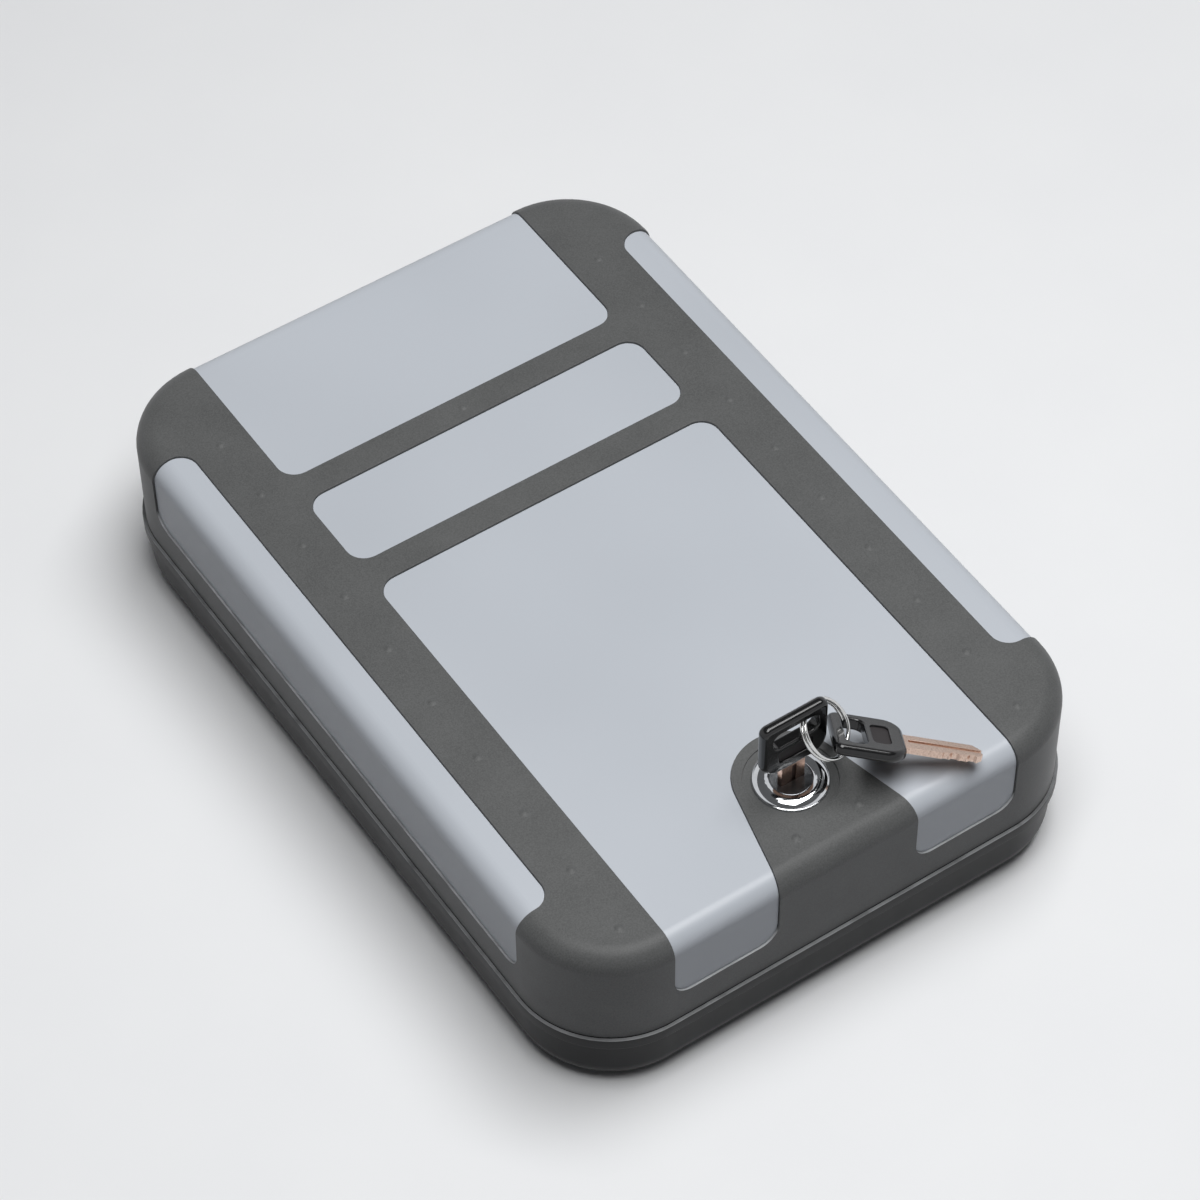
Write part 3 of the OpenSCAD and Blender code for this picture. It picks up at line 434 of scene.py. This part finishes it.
def turned_plug():
    """Zinc casting with its face turned and plated: fine rings round the keyway that draw the light out into a
    fan. The face is darker and duller than the bright bezel round it. The tool's 0.15 mm marks are drawn 0.94 mm
    apart, so that they show."""
    material, tree, shader = new_material("turned_plug", Metallic=1.0)
    place = add(tree, "ShaderNodeTexCoord").outputs["Object"]
    centred = add(tree, "ShaderNodeMapping", {"Vector": place, "Location": (-lock.x, -lock.y, 0)})
    rings = add(tree, "ShaderNodeTexWave", {
        "Vector": centred.outputs["Vector"], "Scale": per(0.9425) * RING_SCALE,
        "Distortion": 0.4, "Detail": 1.0,
    }, wave_type="RINGS", rings_direction="Z")
    tarnish = add(tree, "ShaderNodeTexNoise", {"Vector": place, "Scale": per(2), "Detail": 4.0})
    tone = add(tree, "ShaderNodeMix", {
        FACTOR: tarnish.outputs["Fac"], COLOUR_A: linear("#66686B"), COLOUR_B: linear("#97999C"),
    }, data_type="RGBA")
    tree.links.new(tone.outputs[COLOUR_OUT], shader.inputs["Base Color"])
    gloss = add(tree, "ShaderNodeMapRange", {"Value": tarnish.outputs["Fac"], "To Min": 0.14, "To Max": 0.30})
    tree.links.new(gloss.outputs["Result"], shader.inputs["Roughness"])
    skin = add(tree, "ShaderNodeBump", {
        "Height": rings.outputs["Fac"], "Strength": 0.35, "Distance": 0.01 * MM,
    })
    tree.links.new(skin.outputs["Normal"], shader.inputs["Normal"])
    return material


def stamped_brass():
    """Brass strip, stamped and tumbled: yellow, a little dull, with a soft speckle."""
    material, tree, shader = new_material("stamped_brass", Metallic=1.0)
    place = add(tree, "ShaderNodeTexCoord").outputs["Object"]
    speckle = add(tree, "ShaderNodeTexNoise", {"Vector": place, "Scale": per(0.8), "Detail": 4.0})
    tone = add(tree, "ShaderNodeMix", {
        FACTOR: speckle.outputs["Fac"], COLOUR_A: linear("#A98440"), COLOUR_B: linear("#D6B06A"),
    }, data_type="RGBA")
    tree.links.new(tone.outputs[COLOUR_OUT], shader.inputs["Base Color"])
    gloss = add(tree, "ShaderNodeMapRange", {"Value": speckle.outputs["Fac"], "To Min": 0.28, "To Max": 0.46})
    tree.links.new(gloss.outputs["Result"], shader.inputs["Roughness"])
    skin = add(tree, "ShaderNodeBump", {
        "Height": speckle.outputs["Fac"], "Strength": 0.3, "Distance": 0.02 * MM,
    })
    tree.links.new(skin.outputs["Normal"], shader.inputs["Normal"])
    return material


def milled_brass(name, dark, bright):
    """Key brass with a high copper share, milled and cut: a warm pinkish metal with small cutter marks that break
    its highlights, and painted shade that darkens it in the cuts and hollows. The key in the lock gets a darker
    copy of the same brass, as painted shade."""
    material, tree, shader = new_material(name, Metallic=1.0)
    place = add(tree, "ShaderNodeTexCoord").outputs["Object"]
    cutter = add(tree, "ShaderNodeTexNoise", {
        "Vector": place, "Scale": per(0.5), "Detail": 5.0, "Roughness": 0.65,
    })
    # painted shade: darker where the surface turns inward, in the cuts and hollows
    cut_shade = add(tree, "ShaderNodeMapRange", {
        "Value": add(tree, "ShaderNodeNewGeometry").outputs["Pointiness"], "From Min": 0.42, "From Max": 0.5,
    })
    shade = add(tree, "ShaderNodeMath", {
        0: cutter.outputs["Fac"], 1: cut_shade.outputs["Result"],
    }, operation="MULTIPLY")
    spread = add(tree, "ShaderNodeMapRange", {
        "Value": shade.outputs["Value"], "From Min": 0.1, "From Max": 0.6,
    })
    tone = add(tree, "ShaderNodeMix", {
        FACTOR: spread.outputs["Result"], COLOUR_A: linear(dark), COLOUR_B: linear(bright),
    }, data_type="RGBA")
    tree.links.new(tone.outputs[COLOUR_OUT], shader.inputs["Base Color"])
    gloss = add(tree, "ShaderNodeMapRange", {"Value": cutter.outputs["Fac"], "To Min": 0.2, "To Max": 0.42})
    tree.links.new(gloss.outputs["Result"], shader.inputs["Roughness"])
    skin = add(tree, "ShaderNodeBump", {
        "Height": cutter.outputs["Fac"], "Strength": 0.5, "Distance": 0.03 * MM,
    })
    tree.links.new(skin.outputs["Normal"], shader.inputs["Normal"])
    return material


def glossy_nylon():
    """Black nylon moulded over the key's head in a polished tool: wet-looking highlights along its round edges,
    dulled a little where fingers have worn them. The sunk fields are spark-eroded, so they are paler, brownish and
    dry."""
    material, tree, shader = new_material("glossy_nylon", IOR=1.53, Specular_IOR_Level=0.35)
    place = add(tree, "ShaderNodeTexCoord").outputs["Object"]
    field = add(tree, "ShaderNodeAttribute", attribute_name="sunk_field").outputs["Fac"]
    rub = add(tree, "ShaderNodeTexNoise", {"Vector": place, "Scale": per(2.5), "Detail": 5.0})
    skin_tone = add(tree, "ShaderNodeMix", {
        FACTOR: rub.outputs["Fac"], COLOUR_A: linear("#0A0A0B"), COLOUR_B: linear("#131314"),
    }, data_type="RGBA")
    tone = add(tree, "ShaderNodeMix", {
        FACTOR: field, COLOUR_A: skin_tone.outputs[COLOUR_OUT], COLOUR_B: linear("#2A2627"),
    }, data_type="RGBA")
    tree.links.new(tone.outputs[COLOUR_OUT], shader.inputs["Base Color"])
    shine = add(tree, "ShaderNodeMapRange", {"Value": rub.outputs["Fac"], "To Min": 0.10, "To Max": 0.26})
    gloss = add(tree, "ShaderNodeMix", {"Factor": field, "A": shine.outputs["Result"], "B": 0.62})
    tree.links.new(gloss.outputs["Result"], shader.inputs["Roughness"])
    coat = add(tree, "ShaderNodeMapRange", {"Value": field, "To Min": 0.3, "To Max": 0.0})
    tree.links.new(coat.outputs["Result"], shader.inputs["Coat Weight"])
    skin = add(tree, "ShaderNodeBump", {
        "Height": rub.outputs["Fac"], "Strength": 0.4, "Distance": 0.03 * MM,
    })
    tree.links.new(skin.outputs["Normal"], shader.inputs["Normal"])
    return material


# Pieces

def painted(piece, material):
    """Gives a piece one material."""
    piece.data.materials.clear()
    piece.data.materials.append(material)
    return piece


def foam_pad(node):
    """A pad cut from foam sheet: its edges have crept round and its faces lie a little uneven. They only
    sink, so that the pad stays in its recess."""
    piece = copied(node, "_foam")
    modified(piece, "REMESH", mode="VOXEL", voxel_size=1.7 * MM)
    modified(piece, "SMOOTH", factor=0.5, iterations=5)
    lumps = bpy.data.textures.new(node + "_lumps", "CLOUDS")
    lumps.noise_scale = 22 * MM
    modified(piece, "DISPLACE", texture=lumps, texture_coords="LOCAL", strength=0.5 * MM, mid_level=1.0)
    only(piece)
    bpy.ops.object.shade_smooth()
    return piece


def split_ring(node):
    """Two close turns of wire that step across from one to the other at the spare key, with both ends cut."""
    wire_radius = 0.55 * MM
    pitch = 1.25 * MM  # from one turn to the other
    lean = Vector((0.56, 0.77, 0.34))  # a direction in the ring's plane
    gap = 30  # degrees from the spare key to each cut end, and to each end of the step
    chord = joint_at["spare_swing"] - joint_at["ring_swing"]
    middle = joint_at["ring_swing"] + chord / 2
    along = chord.normalized()
    axis = lean.cross(along).normalized()
    across = axis.cross(along)
    curve = bpy.data.curves.new(node + "_wire", "CURVE")
    curve.dimensions = "3D"
    curve.bevel_depth = wire_radius
    curve.bevel_resolution = 5
    curve.use_fill_caps = True
    course = curve.splines.new("POLY")
    angles = range(gap, 720 - gap + 1, 3)
    course.points.add(len(angles) - 1)
    for point, angle in zip(course.points, angles):
        turn = math.radians(angle)
        share = min(max((angle - 360 + gap) / (2 * gap), 0), 1)
        rise = pitch * (share * share * (3 - 2 * share) - 0.5)
        place = middle + (along * math.cos(turn) + across * math.sin(turn)) * chord.length / 2 + axis * rise
        point.co = (*place, 1)
    piece = bpy.data.objects.new(node + "_wire", curve)
    scene.collection.objects.link(piece)
    only(piece)
    bpy.ops.object.convert(target="MESH")
    piece = bpy.context.view_layer.objects.active
    modified(piece, "BEVEL", width=0.12 * MM, segments=2, limit_method="ANGLE", angle_limit=math.radians(60))
    smooth(piece)
    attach(piece, body_of_node[node])
    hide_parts(node)
    return piece


# Places in a key's head, in millimetres: half the width, half the thickness, and from where to where above
# its foot.
CORE = (20, 1.7, -1, 30)  # all of the head but its two outer faces
POCKET = (4, 1.1, -1, 8.1)  # the pocket round the blade
EYE = (7.6, 9, 11.0, 17.6)
FIELD = (5.8, 9, 4.2, 9.8)
FIELD_FLOOR = (5.8, 1.3, 4.2, 9.8)


def within(point, place):
    """Whether a point of the first key lies in one of the places in its head."""
    half_width, half_thickness, low, high = place
    at = (point - key_foot) / MM
    return abs(at.x) < half_width and abs(at.y) < half_thickness and low < at.z < high


def key_bow_head():
    """The key's moulded head: its blade pocket is filled, and its rim, its eye and its sunk fields have
    rolled edges, each to its own radius."""
    piece = copied("key_bow", "_finished")
    mesh = piece.data
    bpy.context.tool_settings.mesh_select_mode = (False, False, True)
    select(piece, faces=[
        f.index for f in mesh.polygons if all(within(mesh.vertices[v].co, POCKET) for v in f.vertices)
    ])
    edit(piece, lambda: bpy.ops.mesh.delete(type="FACE"), whole=False)
    bpy.context.tool_settings.mesh_select_mode = (False, True, False)
    edit(
        piece,
        lambda: bpy.ops.mesh.select_all(action="DESELECT"),
        lambda: bpy.ops.mesh.select_non_manifold(),
        lambda: bpy.ops.mesh.edge_face_add(),
        lambda: bpy.ops.mesh.select_all(action="SELECT"),
        lambda: bpy.ops.mesh.dissolve_limited(angle_limit=ONE_FACE),
    )
    rolled(piece, 1.5, 7, lambda point: not any(within(point, place) for place in (CORE, EYE, FIELD)))
    rolled(piece, 0.7, 4, lambda point: within(point, EYE) and not within(point, CORE))
    rolled(piece, 0.25, 2, lambda point: within(point, FIELD) and not within(point, CORE))
    sunk = piece.data.attributes.new("sunk_field", "FLOAT", "FACE")
    for face in piece.data.polygons:
        floor = within(face.center, FIELD_FLOOR) and abs(face.normal.y) > 0.9
        sunk.data[face.index].value = 1.0 if floor else 0.0
    return smooth(piece)


def spare_head(head):
    """The spare key's head: the first one with its own mesh, moved to where it hangs on the ring."""
    piece = bpy.data.objects.new("spare_bow_finished", head.data.copy())
    scene.collection.objects.link(piece)
    turn, dip, roll = (math.radians(a) for a in (-36, 12.2, 63))
    hung = 15.9 * MM  # from the head's foot to where the ring passes through its eye
    lain_down = Matrix.Rotation(math.radians(-90), 4, "Y")
    turned_round = Matrix.Rotation(math.radians(180), 4, "Z")
    piece.data.transform(
        Matrix.Translation(joint_at["spare_swing"])
        @ Matrix.Rotation(turn, 4, "Z") @ Matrix.Rotation(dip, 4, "Y") @ Matrix.Rotation(roll, 4, "X")
        @ lain_down @ Matrix.Translation((0, 0, -hung)) @ turned_round @ Matrix.Translation(-key_foot)
    )
    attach(piece, body_of_node["spare_bow"])
    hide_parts("spare_bow")
    return piece


# How wide each piece's broken edges are, in millimetres
EDGES = {
    "base_tub": 0.35, "rubber_feet": 0.4, "strike_plate": 0.25, "strike_screws": 0.12, "hinge_pins": 0.2,
    "lid_shell": 0.3, "lid_frame": 0.2, "lock_housing": 0.12, "lock_washer": 0.12, "lock_nut": 0.25,
    "lock_plug": 0.1, "wafers": 0.06, "latch_cam": 0.25, "cam_washer": 0.1, "cam_screw": 0.12,
    "key_blade": 0.1, "spare_blade": 0.1,
}

finish = {
    "base_tub": moulded_abs(),
    "base_liner": cut_foam(),
    "rubber_feet": moulded_rubber(),
    "strike_plate": zinc_plate(),
    "hinge_pins": drawn_wire(),
    "lid_shell": moulded_polycarbonate(),
    "lid_frame": moulded_elastomer(),
    "lock_housing": chrome_plate(),
    "lock_plug": turned_plug(),
    "wafers": stamped_brass(),
    # painted shade: the key in the lock gets a darker copy of the spare key's brass
    "key_blade": milled_brass("brass_in_painted_shade", "#4A3A33", "#94796A"),
    "spare_blade": milled_brass("milled_brass", "#A9836E", "#E0C8B9"),
    "key_bow": glossy_nylon(),
}
finish["lid_liner"] = finish["base_liner"]
finish["wafer_springs"] = finish["key_ring"] = finish["hinge_pins"]
finish["spare_bow"] = finish["key_bow"]
for node in ("strike_screws", "lock_washer", "lock_nut", "latch_cam", "cam_washer", "cam_screw"):
    finish[node] = finish["strike_plate"]

for node, width in EDGES.items():
    painted(dressed(node, width), finish[node])
for node in ("base_liner", "lid_liner"):
    painted(foam_pad(node), finish[node])
first_head = painted(key_bow_head(), finish["key_bow"])
painted(spare_head(first_head), finish["spare_bow"])
painted(split_ring("key_ring"), finish["key_ring"])
painted(frame["nodes"]["wafer_springs"], finish["wafer_springs"])


# Stage, lights and camera

def floor_paper():
    """Matt white background paper: pale and even, so that it only carries the soft shadow. It grows evenly
    bright away from the box for rays that show it, and sends little light back to the box's walls, which stay
    deep."""
    material, tree, shader = new_material("floor_paper", Roughness=0.9, Emission_Color=linear("#E8E9EB"))
    place = add(tree, "ShaderNodeTexCoord").outputs["Object"]
    path = add(tree, "ShaderNodeLightPath").outputs
    mirrored = add(tree, "ShaderNodeMath", {
        0: path["Is Glossy Ray"], 1: path["Is Transmission Ray"],
    }, operation="MAXIMUM")
    shown = add(tree, "ShaderNodeMath", {
        0: path["Is Camera Ray"], 1: mirrored.outputs["Value"],
    }, operation="MAXIMUM").outputs["Value"]
    away = add(tree, "ShaderNodeVectorMath", {0: place}, operation="LENGTH").outputs["Value"]
    far = add(tree, "ShaderNodeMapRange", {"Value": away, "From Min": 0.5, "From Max": 1.3}).outputs["Result"]
    fibre = add(tree, "ShaderNodeTexNoise", {"Vector": place, "Scale": per(60), "Detail": 3.0})
    paper = add(tree, "ShaderNodeMix", {
        FACTOR: fibre.outputs["Fac"], COLOUR_A: linear("#E6E7E9"), COLOUR_B: linear("#EBECED"),
    }, data_type="RGBA")
    near = add(tree, "ShaderNodeMix", {
        FACTOR: shown, COLOUR_A: linear("#85868A"), COLOUR_B: paper.outputs[COLOUR_OUT],
    }, data_type="RGBA")
    tone = add(tree, "ShaderNodeMix", {
        FACTOR: far, COLOUR_A: near.outputs[COLOUR_OUT], COLOUR_B: linear("#000000"),
    }, data_type="RGBA")
    tree.links.new(tone.outputs[COLOUR_OUT], shader.inputs["Base Color"])
    glow = add(tree, "ShaderNodeMath", {0: far, 1: shown}, operation="MULTIPLY")
    tree.links.new(glow.outputs["Value"], shader.inputs["Emission Strength"])
    return material


def softbox(name, place, aim, width, depth, power):
    """A rectangular soft light at a place, pointed at another."""
    light = bpy.data.lights.new(name, "AREA")
    light.shape = "RECTANGLE"
    light.size = width
    light.size_y = depth
    light.energy = power
    lamp = bpy.data.objects.new(name, light)
    lamp.location = place
    lamp.rotation_euler = (Vector(aim) - Vector(place)).to_track_quat("-Z", "Y").to_euler()
    scene.collection.objects.link(lamp)


def studio_bowl():
    """Paper floor that curves up into a round wall, so that each side of the box has a pale background."""
    reach, cove, wall = 2.2, 0.8, 1.4  # radius of the floor, radius of its curve, and the wall, in metres
    steps = 8
    bpy.ops.object.select_all(action="DESELECT")
    bpy.ops.mesh.primitive_circle_add(vertices=128, radius=reach, fill_type="NGON")
    bowl = bpy.context.view_layer.objects.active
    bowl.name = "studio_bowl"
    bpy.context.tool_settings.mesh_select_mode = (False, True, False)
    bpy.ops.object.mode_set(mode="EDIT")
    bpy.ops.mesh.select_all(action="DESELECT")
    bpy.ops.mesh.select_non_manifold()
    radius, height = reach, 0
    for step in range(1, steps + 1):
        turn = math.radians(90 * step / steps)
        wider, higher = reach + cove * math.sin(turn), cove * (1 - math.cos(turn))
        bpy.ops.mesh.extrude_edges_move(TRANSFORM_OT_translate={"value": (0, 0, higher - height)})
        bpy.ops.transform.resize(value=(wider / radius, wider / radius, 1), center_override=(0, 0, 0))
        radius, height = wider, higher
    bpy.ops.mesh.extrude_edges_move(TRANSFORM_OT_translate={"value": (0, 0, wall)})
    bpy.ops.object.mode_set(mode="OBJECT")
    smooth(bowl)
    bowl.data.materials.append(floor_paper())


studio_bowl()
softbox("overhead_softbox", place=(0.1, -0.15, 1.3), aim=(0, 0, 0.03), width=1.2, depth=0.7, power=19)

world = bpy.data.worlds.new("studio")
scene.world = world
world.use_nodes = True
sky = world.node_tree.nodes["Background"]
sky.inputs["Color"].default_value = linear("#F0F2F5")
sky.inputs["Strength"].default_value = 0.15

# The camera stands where the photograph was taken from. It is turned to the middle of the box and its keys,
# and given a longer lens than the photograph's, which is in millimetres on a 36 mm sensor.
camera_place = Vector((-0.4221, -0.6501, 0.9796))
camera_right = Vector((0.8017, -0.5958, 0.0473))
camera_ahead = Vector((0.4145, 0.4972, -0.7622))
photo_lens = 55.4
closer = 2.25
aim = Vector((0.003, -0.006, 0.036))

camera_data = bpy.data.cameras.new("camera")
camera_data.lens = photo_lens * closer
camera_data.sensor_width = 36
camera = bpy.data.objects.new("camera", camera_data)
scene.collection.objects.link(camera)
camera_up = camera_right.cross(camera_ahead)
facing = Matrix((camera_right, camera_up, -camera_ahead)).transposed()
turn_to_box = camera_ahead.rotation_difference(aim - camera_place).to_matrix()
camera.matrix_world = Matrix.Translation(camera_place) @ (turn_to_box @ facing).to_4x4()
scene.camera = camera

scene.view_settings.view_transform = "Standard"
